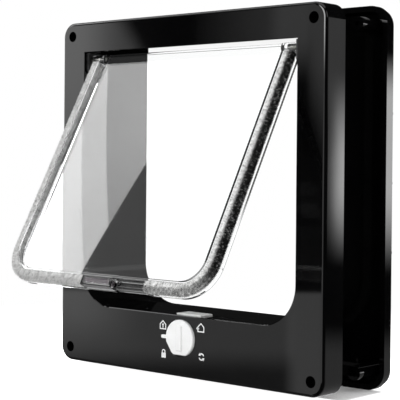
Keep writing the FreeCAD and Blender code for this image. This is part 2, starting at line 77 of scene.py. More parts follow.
def makeCamera(view):
    yaw, pitch, roll = (math.radians(view[key]) for key in ("yaw", "pitch", "roll"))
    level = math.cos(pitch)
    forward = Vector((-math.sin(yaw) * level, math.cos(yaw) * level, -math.sin(pitch)))
    side = Vector((math.cos(yaw), math.sin(yaw), 0))
    top = side.cross(forward)
    right = side * math.cos(roll) + top * math.sin(roll)
    up = top * math.cos(roll) - side * math.sin(roll)
    data = bpy.data.cameras.new("camera")
    data.lens = view["lens"]
    data.shift_y = view["shiftY"]
    data.clip_end = view["farthest"]
    camera = bpy.data.objects.new("camera", data)
    turn = Matrix((right, up, -forward)).transposed().to_4x4()
    camera.matrix_world = Matrix.Translation(view["place"]) @ turn
    bpy.context.scene.collection.objects.link(camera)
    bpy.context.scene.camera = camera


# Small helpers for node trees


def addNode(tree, kind, **values):
    node = tree.nodes.new(kind)
    for key, value in values.items():
        setattr(node, key, value)
    return node


def feed(tree, value, socket):
    """Links a socket, or writes a plain value into it."""
    if isinstance(value, bpy.types.NodeSocket):
        tree.links.new(value, socket)
    else:
        socket.default_value = value


def maths(tree, operation, *values):
    node = addNode(tree, "ShaderNodeMath", operation=operation)
    for i, value in enumerate(values):
        feed(tree, value, node.inputs[i])
    return node.outputs[0]


def ramp(tree, value, low, high, lowOut=0.0, highOut=1.0):
    """Smooth step of a value, from lowOut at low to highOut at high."""
    node = addNode(tree, "ShaderNodeMapRange", interpolation_type="SMOOTHSTEP")
    for i, item in enumerate((value, low, high, lowOut, highOut)):
        feed(tree, item, node.inputs[i])
    return node.outputs[0]


def mixColour(tree, mask, first, second):
    node = addNode(tree, "ShaderNodeMix", data_type="RGBA")
    feed(tree, mask, node.inputs["Factor"])
    feed(tree, first, node.inputs[6])
    feed(tree, second, node.inputs[7])
    return node.outputs[2]


def noise(tree, vector, scale, detail=2.0, roughness=0.5):
    node = addNode(tree, "ShaderNodeTexNoise")
    feed(tree, vector, node.inputs["Vector"])
    feed(tree, scale, node.inputs["Scale"])
    node.inputs["Detail"].default_value = detail
    node.inputs["Roughness"].default_value = roughness
    return node.outputs["Fac"]


# The studio, seen only in reflections. Angles are in degrees: azimuth 0 is straight in front of the flap and
# grows to the right, and elevation is above the horizon. A box of light can have:
# area: its left, right, lowest and highest angle; soft: how far each of those sides fades out;
# slant: how far its right side leans, in degrees for each degree of elevation;
# cut: a leaning edge, its softness and its slant, lit on its left, or on its right if soft is negative;
# across and upward: a change of brightness with azimuth or elevation, as two angles and the level at each;
# level: its brightness, which is 1 where none is given.
studio = {"white": 1.0, "through": 0.12, "fill": 0.97, "room": 0.012, "firstBounce": 0.5}
paneEdge = (-59.33, 0.12, -0.374)
leftSlope = (-8.6, 4.8, 0.57, 2.15)
boxes = {
    "left": {"area": (-75, -46.9, -6.6, 3.4), "soft": (8, 3.3, 2.4, 0.4), "upward": leftSlope},
    "leftTop": {"area": (-75, -60.71, 3.8, 14), "soft": (8, 1.2, 0.4, 4), "slant": -0.56,
                "across": (-47.0, -44.8, 1.0, 0.4), "upward": leftSlope},
    "card": {"area": (-41.7, -36.95, 5.6, 40), "soft": (0.15, 0.35, 2.4, 20),
             "across": (-42.5, -38.0, 0.0, 0.4)},
    "cardEnd": {"area": (-37.9, -36.95, 5.6, 40), "soft": (0.8, 0.35, 2.4, 20), "level": 0.33},
    "cardSide": {"area": (-36.6, -36.0, -4, 30), "soft": (0.35, 0.5, 2, 20), "cut": (-44.4, -1.6, -0.292),
                 "level": 0.66},
    "floorFront": {"area": (-60, -37.6, -60, -5.95), "soft": (12, 0.6, 8, 0.2),
                   "across": (-45.5, -42.5, 0.68, 0.62), "upward": (-9.5, -8.2, 0.22, 1.0)},
    "floorCorner": {"area": (-37.0, -36.2, -60, -5.95), "soft": (0.8, 0.8, 8, 0.2), "level": 0.84},
    "floorRight": {"area": (110, 200, -80, -8.6), "soft": (12, 1, 5, 1.5), "level": 0.3},
    "floorLeft": {"area": (-200, -100, -80, -9), "soft": (1, 12, 5, 3), "level": 0.3},
    "edge": {"area": (-24, 6, -10.5, 30), "soft": (4, 8, 1.5, 14), "upward": (3.4, 6.6, 0.9, 9.0)},
    "flange": {"area": (143.9, 145.2, -0.9, -0.3), "soft": (0.5, 0.6, 3.9, 4.4),
               "across": (144.1, 144.8, 0.5, 4.8)},
    "door": {"area": (146.6, 164, -1.0, 2.6), "soft": (0.6, 8, 4.1, 2.2), "level": 5.0},
    "doorTop": {"area": (118, 144.6, 3.6, 8), "soft": (12, 1.6, 3, 6), "level": 0.48},
    "pane": {"area": (-70, -50, 20, 52), "soft": (4, 1, 4, 8), "cut": paneEdge, "level": 2.8,
             "upward": (33.5, 39.5, 0.72, 1.0)},
    "paneMiddle": {"area": (-70, -57.77, 20, 52), "soft": (4, 0.2, 4, 8), "slant": -1.474, "cut": paneEdge,
                   "level": 2.0},
    "paneLeft": {"area": (-70, -60.01, 20, 52), "soft": (4, 0.2, 4, 8), "slant": -1.418, "cut": paneEdge,
                 "level": 1.3},
    "paneHaze": {"area": (-62, -48, 26, 46), "soft": (4, 4, 4, 4), "level": 0.5},
    "rim": {"area": (-100, -80, 38, 58), "soft": (6, 4, 4, 4), "level": 2.2},
    "behind": {"area": (-152, -128, -14, -3.5), "soft": (6, 6, 3, 2), "level": 1.5},
    "sideRight": {"area": (62, 88, 12, 34), "soft": (4, 8, 4, 12), "level": 1.2},
    "sideLeft": {"area": (-118, -92, -3, 18), "soft": (7, 7, 5, 6), "level": 1.1},
    "ceiling": {"area": (-200, 200, 64, 95), "soft": (1, 1, 9, 1), "level": 1.2},
}
# The elevation at which a leaning line has its stated azimuth
slantMiddle = 33.0


def slanted(tree, azimuth, elevation, slant):
    """Azimuth measured from a line that leans by slant degrees for each degree of elevation."""
    shift = maths(tree, "MULTIPLY", maths(tree, "SUBTRACT", elevation, slantMiddle), -slant)
    return maths(tree, "ADD", azimuth, shift)


def boxLight(tree, azimuth, elevation, box):
    """Light of one box: its four faded sides, with a change of brightness or a cut where it has one."""
    left, right, low, high = box["area"]
    softLeft, softRight, softLow, softHigh = box["soft"]
    own = slanted(tree, azimuth, elevation, box["slant"]) if "slant" in box else azimuth
    sides = [
        ramp(tree, azimuth, left - softLeft, left), ramp(tree, own, right, right + softRight, 1.0, 0.0),
        ramp(tree, elevation, low - softLow, low), ramp(tree, elevation, high, high + softHigh, 1.0, 0.0),
    ]
    if "cut" in box:
        edge, soft, slant = box["cut"]
        sides.append(ramp(tree, slanted(tree, azimuth, elevation, slant), edge, edge + soft, 1.0, 0.0))
    if "across" in box:
        sides.append(ramp(tree, azimuth, *box["across"]))
    if "upward" in box:
        sides.append(ramp(tree, elevation, *box["upward"]))
    light = box.get("level", 1.0)
    for side in sides:
        light = maths(tree, "MULTIPLY", side, light)
    return light


def studioLight(tree):
    """Radiance of the studio by direction, as the sum of its boxes and a dim room."""
    place = addNode(tree, "ShaderNodeTexCoord")
    split = addNode(tree, "ShaderNodeSeparateXYZ")
    tree.links.new(place.outputs["Generated"], split.inputs[0])
    back = maths(tree, "MULTIPLY", split.outputs["Y"], -1.0)
    turned = maths(tree, "ARCTAN2", split.outputs["X"], back)
    azimuth = maths(tree, "MULTIPLY", turned, 180 / math.pi)
    raised = maths(tree, "ARCSINE", split.outputs["Z"])
    elevation = maths(tree, "MULTIPLY", raised, 180 / math.pi)
    total = studio["room"]
    for box in boxes.values():
        total = maths(tree, "ADD", boxLight(tree, azimuth, elevation, box), total)
    return total


def makeWorld():
    """White to the camera and through clear plastic, even on surfaces, and the studio in reflections."""
    world = bpy.data.worlds.new("studio")
    world.use_nodes = True
    tree = world.node_tree
    tree.nodes.clear()
    path = addNode(tree, "ShaderNodeLightPath")
    unreflected = maths(tree, "LESS_THAN", path.outputs["Glossy Depth"], studio["firstBounce"])
    through = maths(tree, "MULTIPLY", path.outputs["Is Transmission Ray"], unreflected)
    seen = maths(tree, "MAXIMUM", path.outputs["Is Camera Ray"], through)
    gloss = maths(tree, "MULTIPLY", path.outputs["Is Glossy Ray"], maths(tree, "SUBTRACT", 1.0, seen))
    level = addNode(tree, "ShaderNodeMix", data_type="FLOAT")
    feed(tree, gloss, level.inputs["Factor"])
    level.inputs[2].default_value = studio["fill"]
    feed(tree, studioLight(tree), level.inputs[3])
    final = addNode(tree, "ShaderNodeMix", data_type="FLOAT")
    feed(tree, seen, final.inputs["Factor"])
    feed(tree, level.outputs[0], final.inputs[2])
    feed(tree, maths(tree, "MULTIPLY_ADD", through, studio["through"], studio["white"]), final.inputs[3])
    background = addNode(tree, "ShaderNodeBackground")
    background.inputs["Color"].default_value = (1, 1, 1, 1)
    feed(tree, final.outputs[0], background.inputs["Strength"])
    output = addNode(tree, "ShaderNodeOutputWorld")
    tree.links.new(background.outputs[0], output.inputs["Surface"])
    bpy.context.scene.world = world
    bpy.context.scene.view_settings.view_transform = "Standard"


# Effects that several finishes share


def newGroup(name, takes, gives):
    tree = bpy.data.node_groups.new(name, "ShaderNodeTree")
    for label, value in takes.items():
        socket = tree.interface.new_socket(name=label, in_out="INPUT", socket_type="NodeSocketFloat")
        socket.default_value = value
    for label in gives:
        tree.interface.new_socket(name=label, in_out="OUTPUT", socket_type="NodeSocketFloat")
    return tree, tree.nodes.new("NodeGroupInput"), tree.nodes.new("NodeGroupOutput")


skinShape = {
    "waveDetail": 2.0, "grainDetail": (3.0, 0.6), "cloudScale": 3.0, "cloudDetail": (5.0, 0.65), "swing": 2.0,
}
markShape = {
    "bands": (((0.3, 0.5, 0.2), (1.0, 9.0, 12.0)), ((1.1, -0.4, 0.7), (11.0, 8.0, 1.0))),
    "bandDetail": 1.0, "widthShare": 0.25, "patchScale": 45.0, "patchDetail": 2.0, "patch": (0.52, 0.62),
}


def makeMouldedSkin():
    """Slow waves of a cooled moulding and a fine grain, as a height, with a roughness to go with them."""
    takes = {"Wave Scale": 30.0, "Grain Scale": 2500.0, "Grain": 0.1, "Roughness": 0.1, "Spread": 0.03}
    tree, given, out = newGroup("mouldedSkin", takes, ("Height", "Roughness"))
    place = addNode(tree, "ShaderNodeTexCoord").outputs["Object"]
    waves = noise(tree, place, given.outputs["Wave Scale"], skinShape["waveDetail"])
    grain = noise(tree, place, given.outputs["Grain Scale"], *skinShape["grainDetail"])
    feed(tree, maths(tree, "MULTIPLY_ADD", grain, given.outputs["Grain"], waves), out.inputs["Height"])
    cloudScale = maths(tree, "MULTIPLY", given.outputs["Wave Scale"], skinShape["cloudScale"])
    cloudy = noise(tree, place, cloudScale, *skinShape["cloudDetail"])
    offset = maths(tree, "MULTIPLY", maths(tree, "SUBTRACT", cloudy, 0.5), given.outputs["Spread"])
    rough = maths(tree, "MULTIPLY_ADD", offset, skinShape["swing"], given.outputs["Roughness"])
    feed(tree, maths(tree, "MAXIMUM", rough, 0.0), out.inputs["Roughness"])
    return tree


def makeHandlingMarks():
    """Sparse hairline marks: thin bands where two stretched noises cross their middle value."""
    tree, given, out = newGroup("handlingMarks", {"Scale": 60.0, "Width": 0.02, "Amount": 0.5}, ("Mask",))
    place = addNode(tree, "ShaderNodeTexCoord").outputs["Object"]
    masks = []
    width = maths(tree, "MULTIPLY", given.outputs["Width"], markShape["widthShare"])
    for turn, stretch in markShape["bands"]:
        mapping = addNode(tree, "ShaderNodeMapping")
        feed(tree, place, mapping.inputs["Vector"])
        mapping.inputs["Rotation"].default_value = turn
        mapping.inputs["Scale"].default_value = stretch
        band = noise(tree, mapping.outputs[0], given.outputs["Scale"], markShape["bandDetail"])
        away = maths(tree, "ABSOLUTE", maths(tree, "SUBTRACT", band, 0.5))
        masks.append(maths(tree, "LESS_THAN", away, width))
    patches = noise(tree, place, markShape["patchScale"], markShape["patchDetail"])
    patch = ramp(tree, patches, *markShape["patch"])
    both = maths(tree, "MULTIPLY", maths(tree, "MAXIMUM", *masks), patch)
    feed(tree, maths(tree, "MULTIPLY", both, given.outputs["Amount"]), out.inputs["Mask"])
    return tree


mouldedSkin = makeMouldedSkin()
handlingMarks = makeHandlingMarks()


def placeGroup(tree, group, **values):
    node = addNode(tree, "ShaderNodeGroup", node_tree=group)
    for key, value in values.items():
        feed(tree, value, node.inputs[key.replace("_", " ")])
    return node


def newFinish(name):
    """A material with one Principled shader, ready for its nodes."""
    material = bpy.data.materials.new(name)
    material.use_nodes = True
    tree = material.node_tree
    tree.nodes.clear()
    shader = addNode(tree, "ShaderNodeBsdfPrincipled")
    output = addNode(tree, "ShaderNodeOutputMaterial")
    tree.links.new(shader.outputs[0], output.inputs["Surface"])
    return material, tree, shader, output


def addBump(tree, shader, height, strength, distance):
    bump = addNode(tree, "ShaderNodeBump")
    bump.inputs["Strength"].default_value = strength
    bump.inputs["Distance"].default_value = distance
    feed(tree, height, bump.inputs["Height"])
    tree.links.new(bump.outputs[0], shader.inputs["Normal"])


plasticShape = {"toneDetail": 3.0, "toneRange": (0.3, 0.7), "markRoughness": 0.25}


def plasticFinish(name, look):
    """Opaque moulded plastic: two close tones, an uneven gloss, fine grain and faint hairline marks."""
    material, tree, shader, _ = newFinish(name)
    skin = placeGroup(tree, mouldedSkin, Wave_Scale=look["waves"], Grain_Scale=look["grainScale"],
                      Grain=look["grain"], Roughness=look["roughness"], Spread=look["spread"])
    marks = placeGroup(tree, handlingMarks, Scale=look["markScale"], Amount=look["marks"])
    place = addNode(tree, "ShaderNodeTexCoord").outputs["Object"]
    tone = noise(tree, place, look["toneScale"], plasticShape["toneDetail"])
    base = mixColour(tree, ramp(tree, tone, *plasticShape["toneRange"]), look["dark"], look["light"])
    feed(tree, base, shader.inputs["Base Color"])
    rough = maths(tree, "MULTIPLY_ADD", marks.outputs["Mask"], plasticShape["markRoughness"],
                  skin.outputs["Roughness"])
    feed(tree, rough, shader.inputs["Roughness"])
    shader.inputs["IOR"].default_value = look["ior"]
    addBump(tree, shader, skin.outputs["Height"], look["bump"], look["bumpDepth"])
    return material


glossLook = {
    "dark": (0.0009, 0.0009, 0.001, 1), "light": (0.0017, 0.0017, 0.0018, 1), "toneScale": 25.0,
    "waves": 18.0, "grainScale": 1800.0, "grain": 0.01, "roughness": 0.024, "spread": 0.01,
    "markScale": 30.0, "marks": 0.08, "ior": 1.5, "bump": 0.03, "bumpDepth": 0.0006,
}
innerLook = {
    "dark": (0.006, 0.006, 0.0065, 1), "light": (0.012, 0.012, 0.0125, 1), "toneScale": 60.0,
    "waves": 60.0, "grainScale": 2600.0, "grain": 0.4, "roughness": 0.34, "spread": 0.06,
    "markScale": 70.0, "marks": 0.4, "ior": 1.48, "bump": 0.2, "bumpDepth": 0.0003,
}
whiteLook = {
    "dark": (0.88, 0.88, 0.875, 1), "light": (0.92, 0.92, 0.92, 1), "toneScale": 90.0,
    "waves": 60.0, "grainScale": 2400.0, "grain": 0.15, "roughness": 0.22, "spread": 0.05,
    "markScale": 80.0, "marks": 0.5, "ior": 1.46, "bump": 0.08, "bumpDepth": 0.0004,
}
naturalLook = {
    "dark": (0.60, 0.585, 0.54, 1), "light": (0.70, 0.685, 0.64, 1), "toneScale": 110.0,
    "waves": 80.0, "grainScale": 2000.0, "grain": 0.3, "roughness": 0.38, "spread": 0.05,
    "markScale": 90.0, "marks": 0.5, "ior": 1.47, "bump": 0.1, "bumpDepth": 0.0003,
}
clearLook = {
    "tint": (0.99, 0.995, 0.995, 1), "shade": (0.93, 0.94, 0.94, 1), "ior": 1.49,
    "markScale": 40.0, "marks": 0.06,
}


def clearFinish():
    """Clear polished plastic with faint hairline marks, that lets light through to what it would shade."""
    material, tree, shader, output = newFinish("clearPlastic")
    marks = placeGroup(tree, handlingMarks, Scale=clearLook["markScale"], Amount=clearLook["marks"])
    shader.inputs["Base Color"].default_value = clearLook["tint"]
    shader.inputs["IOR"].default_value = clearLook["ior"]
    shader.inputs["Transmission Weight"].default_value = 1.0
    feed(tree, marks.outputs["Mask"], shader.inputs["Roughness"])
    path = addNode(tree, "ShaderNodeLightPath")
    clear = addNode(tree, "ShaderNodeBsdfTransparent")
    clear.inputs["Color"].default_value = clearLook["shade"]
    mix = addNode(tree, "ShaderNodeMixShader")
    tree.links.new(path.outputs["Is Shadow Ray"], mix.inputs[0])
    tree.links.new(shader.outputs[0], mix.inputs[1])
    tree.links.new(clear.outputs[0], mix.inputs[2])
    tree.links.new(mix.outputs[0], output.inputs["Surface"])
    return material


metalLooks = {
    "steel": {"tone": (0.56, 0.55, 0.53, 1), "dull": (0.42, 0.41, 0.39, 1), "roughness": 0.28},
    # The magnet's near-white, almost non-metallic tone is a painted reflection: the bright look its plating
    # has in the studio.
    "platedMagnet": {"tone": (0.93, 0.93, 0.92, 1), "dull": (0.88, 0.88, 0.87, 1), "roughness": 0.12,
                     "metal": 0.05},
}
drawnLines = {
    "stretch": (1.0, 14.0, 14.0), "scale": 160.0, "detail": (4.0, 0.6), "roughness": 0.12, "bump": 0.08,
    "bumpDepth": 0.0002, "cloudScale": 140.0, "cloudDetail": 3.0, "cloud": (0.35, 0.7),
}


def metalFinish(name):
    """Bare or plated metal with drawn lines along its length."""
    look = metalLooks[name]
    material, tree, shader, _ = newFinish(name)
    place = addNode(tree, "ShaderNodeTexCoord").outputs["Object"]
    mapping = addNode(tree, "ShaderNodeMapping")
    feed(tree, place, mapping.inputs["Vector"])
    mapping.inputs["Scale"].default_value = drawnLines["stretch"]
    lines = noise(tree, mapping.outputs[0], drawnLines["scale"], *drawnLines["detail"])
    cloud = noise(tree, place, drawnLines["cloudScale"], drawnLines["cloudDetail"])
    tone = mixColour(tree, ramp(tree, cloud, *drawnLines["cloud"]), look["tone"], look["dull"])
    feed(tree, tone, shader.inputs["Base Color"])
    shader.inputs["Metallic"].default_value = look.get("metal", 1.0)
    rough = maths(tree, "MULTIPLY_ADD", lines, drawnLines["roughness"], look["roughness"])
    feed(tree, rough, shader.inputs["Roughness"])
    addBump(tree, shader, lines, drawnLines["bump"], drawnLines["bumpDepth"])
    return material


ferriteLook = {
    "dark": (0.085, 0.07, 0.082, 1), "light": (0.19, 0.165, 0.18, 1), "scale": 900.0, "detail": (4.0, 0.7),
    "range": (0.35, 0.65), "roughness": 0.5, "metal": 0.3, "bump": 0.3, "bumpDepth": 0.0002,
}


def ferriteFinish():
    """Dull sintered magnet with a speckled, slightly purple grey surface."""
    material, tree, shader, _ = newFinish("ferrite")
    place = addNode(tree, "ShaderNodeTexCoord").outputs["Object"]
    speck = noise(tree, place, ferriteLook["scale"], *ferriteLook["detail"])
    share = ramp(tree, speck, *ferriteLook["range"])
    tone = mixColour(tree, share, ferriteLook["dark"], ferriteLook["light"])
    feed(tree, tone, shader.inputs["Base Color"])
    shader.inputs["Roughness"].default_value = ferriteLook["roughness"]
    shader.inputs["Metallic"].default_value = ferriteLook["metal"]
    addBump(tree, shader, speck, ferriteLook["bump"], ferriteLook["bumpDepth"])
    return material


pileLook = {
    # The pale colour is the pile's colour where its painted light is full; root sets the painted shade toward
    # the fibres' roots.
    "dark": (0.004, 0.004, 0.004, 1), "litTone": (0.95, 0.95, 0.945, 1), "root": 0.8, "rootShadeEnd": 0.7,
    "fibreRoughness": 0.5, "fibreSpecular": 0.3, "backingRoughness": 0.9, "backingSpecular": 0.2,
    "weaveScale": 1400.0, "weaveDetail": (3.0, 0.7), "weave": (0.3, 0.7, 0.75, 1.0),
    "bump": 0.5, "bumpDepth": 0.0003,
}


def fibreFinish():
    """Nylon pile: each fibre's tone, from near black to near white, carries the painted light of the strips,
    with painted shade toward its root.
    """
    material, tree, shader, _ = newFinish("pileFibre")
    own = addNode(tree, "ShaderNodeAttribute", attribute_name="paintedLight").outputs["Fac"]
    along = addNode(tree, "ShaderNodeAttribute", attribute_name="fibreTip").outputs["Fac"]
    # Painted shade: each fibre's tone is darkened toward its root.
    tone = maths(tree, "MULTIPLY", own, ramp(tree, along, 0.0, pileLook["rootShadeEnd"], pileLook["root"], 1.0))
    feed(tree, mixColour(tree, tone, pileLook["dark"], pileLook["litTone"]), shader.inputs["Base Color"])
    shader.inputs["Roughness"].default_value = pileLook["fibreRoughness"]
    shader.inputs["Specular IOR Level"].default_value = pileLook["fibreSpecular"]
    return material


def backingFinish():
    """Woven backing under the pile, with the same painted light as the fibres over it, and a fine weave."""
    material, tree, shader, _ = newFinish("pileBacking")
    place = addNode(tree, "ShaderNodeTexCoord").outputs["Object"]
    weave = noise(tree, place, pileLook["weaveScale"], *pileLook["weaveDetail"])
    own = addNode(tree, "ShaderNodeAttribute", attribute_name="paintedLight").outputs["Fac"]
    tone = maths(tree, "MULTIPLY", own, ramp(tree, weave, *pileLook["weave"]))
    feed(tree, mixColour(tree, tone, pileLook["dark"], pileLook["litTone"]), shader.inputs["Base Color"])
    shader.inputs["Roughness"].default_value = pileLook["backingRoughness"]
    shader.inputs["Specular IOR Level"].default_value = pileLook["backingSpecular"]
    addBump(tree, shader, weave, pileLook["bump"], pileLook["bumpDepth"])
    return material


inkLook = {
    "thin": (0.78, 0.79, 0.79, 1), "thick": (0.88, 0.88, 0.88, 1), "scale": 1500.0, "detail": 2.0,
    "roughness": 0.45, "bump": 0.1, "bumpDepth": 0.0001,
}


def printFinish():
    """White printing ink, a little uneven at its surface."""
    material, tree, shader, _ = newFinish("whiteInk")
    place = addNode(tree, "ShaderNodeTexCoord").outputs["Object"]
    blot = noise(tree, place, inkLook["scale"], inkLook["detail"])
    feed(tree, mixColour(tree, blot, inkLook["thin"], inkLook["thick"]), shader.inputs["Base Color"])
    shader.inputs["Roughness"].default_value = inkLook["roughness"]
    addBump(tree, shader, blot, inkLook["bump"], inkLook["bumpDepth"])
    return material


def dressNodes():
    """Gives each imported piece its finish."""
    glossBlack = plasticFinish("glossBlack", glossLook)
    innerBlack = plasticFinish("innerBlack", innerLook)
    steel = metalFinish("steel")
    clear = clearFinish()
    finishes = {
        "interior_frame": glossBlack, "exterior_frame": glossBlack,
        "flap_panel": clear, "flap_magnet_cap": clear, "flap_magnet": ferriteFinish(),
        "sill_magnet": metalFinish("platedMagnet"), "dial_knob": plasticFinish("dialWhite", whiteLook),
        "cam_drum": plasticFinish("naturalDrum", naturalLook), "cam_screw": steel, "detent_spring": steel,
        "cover_screws": steel, "hinge_pin_left": steel, "hinge_pin_right": steel,
        "room_side_latch": innerBlack, "outdoor_side_latch": innerBlack, "lock_cover": innerBlack,
        "hinge_clip_left": innerBlack, "hinge_clip_right": innerBlack,
    }
    for name, material in finishes.items():
        data = frame["nodes"][name].data
        data.materials.clear()
        data.materials.append(material)


def newPiece(name, points, faces, material, smooth=True):
    """A mesh object at the origin, from whole arrays of points and faces."""
    mesh = bpy.data.meshes.new(name)
    mesh.from_pydata(points.tolist(), [], [list(face) for face in faces])
    mesh.materials.append(material)
    mesh.polygons.foreach_set("use_smooth", [smooth] * len(mesh.polygons))
    mesh.update()
    piece = bpy.data.objects.new(name, mesh)
    bpy.context.scene.collection.objects.link(piece)
    return piece


# The pile strips. A strip's line follows the flap's outline: down one side, round the lower corner and in
# along the foot. Its section is half of a rounded square that bulges outwards and to both faces. Lengths
# along a strip are shares from 0 to 1, and the dark strip's painted highlight band is given in radians round
# the section. The strips' tones are mostly painted light: a pale strip lit from behind, and on the dark strip
# a painted highlight, painted glints and a painted sheen toward its foot.
pile = {
    "openAngle": 29.0,
    "cornerRadius": 24.0 * mm,
    "rootInset": 7.2 * mm,
    "squareness": 0.62,
    "coreShare": 0.80,
    "steps": 260,
    "sectionSteps": 15,
    "coreEnds": (0.002, 0.998),
    "fibres": 36000,
    "fibreEnds": (0.001, 0.999),
    "fibreRoot": 0.06,
    "fibreWidth": 0.13 * mm,
    "widthSpread": (0.7, 1.2),
    "tipSpread": 0.030,
    "lean": 0.40 * mm,
    "clumps": (430, 18),
    "clumpSpread": 0.25,
    "fibreSpread": 0.16,
    # band: the painted highlight along the dark strip's edge, in radians round the section.
    "band": (0.80, 1.38),
    "highlightSpread": 0.10,
    "footShare": (0.71, 0.82),
    "tones": {"leftLitFromBehind": 0.87, "rightHighlight": 0.92, "rightRest": 0.008, "rightFootSheen": 0.52, "glint": 0.52,
              "footUnderHighlight": 0.7},
    "glintFrom": 1.3,
}


def hingeLine():
    swing = next(joint for joint in frame["joints"] if joint["name"] == "flap_swing")
    return np.array(swing["pos_m"])


def turnAboutHinge(points, degrees):
    """Turns points about the flap's hinge line, which runs along X."""
    angle = math.radians(degrees)
    hinge = hingeLine()
    moved = points - hinge
    y = moved[:, 1] * math.cos(angle) - moved[:, 2] * math.sin(angle)
    z = moved[:, 1] * math.sin(angle) + moved[:, 2] * math.cos(angle)
    return np.stack([moved[:, 0], y, z], 1) + hinge


def closedBox(node):
    """Lowest and highest corner of a piece of the flap once the flap is turned back to closed."""
    mesh = frame["nodes"][node].data
    points = np.zeros(len(mesh.vertices) * 3)
    mesh.vertices.foreach_get("co", points)
    points = turnAboutHinge(points.reshape(-1, 3), pile["openAngle"])
    return points.min(0), points.max(0)


def stripLine(share, low, high, side):
    """Points of the strip's outer line at shares 0 to 1 of its length, with the outward direction there.

    The line is straight down to the corner, a quarter circle, and straight in to the strip's end."""
    radius = pile["cornerRadius"]
    outer = high[0] if side > 0 else -low[0]
    inner = low[0] if side > 0 else -high[0]
    down = high[2] - low[2] - radius
    arc = radius * math.pi / 2
    along = share * (down + arc + outer - radius - inner)
    turn = np.clip((along - down) / radius, 0, math.pi / 2)
    x = outer - radius + radius * np.cos(turn) - np.maximum(along - down - arc, 0)
    z = low[2] + radius - radius * np.sin(turn) + np.maximum(down - along, 0)
    line = np.stack([x * side, z], 1)
    outward = np.stack([np.cos(turn) * side, -np.sin(turn)], 1)
    return line, outward


def stripPoints(share, angle, reach, low, high, side):
    """Places in a strip: a share of its length, an angle round its section and a share of the way out.

    The section is a rounded square: its coordinates are a cosine and a sine raised to a power below 1."""
    line, outward = stripLine(share, low, high, side)
    depth = (high[1] - low[1]) / 2
    power = pile["squareness"]
    out = np.cos(angle).clip(0) ** power * reach * pile["rootInset"]
    across = np.sign(np.sin(angle)) * np.abs(np.sin(angle)) ** power * reach * depth
    inset = pile["rootInset"] - out
    x = line[:, 0] - outward[:, 0] * inset
    z = line[:, 1] - outward[:, 1] * inset
    y = (low[1] + high[1]) / 2 + across
    return np.stack([x, y, z], 1)


def stepTo(value, low, high):
    """Smooth step of an array, from 0 at low to 1 at high."""
    share = np.clip((value - low) / (high - low), 0, 1)
    return share * share * (3 - 2 * share)


def stripPaintedLight(share, angle, side, clumps):
    """Painted light on the pile, 0 to 1: one strip is pale as if lit from behind; the other is dark but for a
    painted highlight along its edge on the room's side, painted glints and a painted sheen toward its foot.
    """
    tones = pile["tones"]
    along, around = pile["clumps"]
    row = np.clip((share * along).astype(int), 0, along - 1)
    column = np.clip(((angle / math.pi + 0.5) * around).astype(int), 0, around - 1)
    uneven = clumps[row, column] * pile["clumpSpread"]
    # The left strip is pale as if lit from behind: painted light.
    if side < 0:
        return tones["leftLitFromBehind"] - np.abs(uneven)
    # Painted glints: bright flecks where the clumps run high.
    glint = tones["glint"] * (clumps[row, column] > pile["glintFrom"])
    # Painted highlight: the dark strip grows pale over the angles in band.
    band = stepTo(-angle, *pile["band"])
    straight = tones["rightRest"] + (tones["rightHighlight"] - tones["rightRest"]) * band
    # Painted sheen: the dark strip grows paler toward its foot.
    foot = stepTo(share, *pile["footShare"])
    towardsFoot = (tones["rightFootSheen"] - straight) * foot * (1 - band * tones["footUnderHighlight"])
    return np.maximum(straight + towardsFoot + uneven * np.maximum(foot, band), glint)


def givePaintedLight(piece, values):
    tone = piece.data.attributes.new("paintedLight", "FLOAT", "POINT")
    tone.data.foreach_set("value", np.clip(values, 0, 1).astype(np.float32))


def stripCore(low, high, side, material, name, clumps):
    """The strip's backing: the half section at coreShare of its size, carried along the line and closed."""
    steps, around = pile["steps"], pile["sectionSteps"]
    shares = np.linspace(*pile["coreEnds"], steps)
    angles = np.linspace(-math.pi / 2, math.pi / 2, around)
    share, angle = np.meshgrid(shares, angles, indexing="ij")
    points = stripPoints(share.ravel(), angle.ravel(), pile["coreShare"], low, high, side)
    first = np.arange(steps - 1)[:, None] * around
    column = np.arange(around)[None, :]
    following = (column + 1) % around
    second = first + around
    quads = np.stack([first + column, first + following, second + following, second + column], -1)
    quads = quads.reshape(-1, 4)
    if side < 0:
        quads = quads[:, ::-1]
    caps = [np.arange(around)[::-side], np.arange(around)[::side] + (steps - 1) * around]
    points = turnAboutHinge(points, -pile["openAngle"])
    piece = newPiece(name, points, quads.tolist() + [cap.tolist() for cap in caps], material)
    givePaintedLight(piece, stripPaintedLight(share.ravel(), angle.ravel(), side, clumps))
    return piece


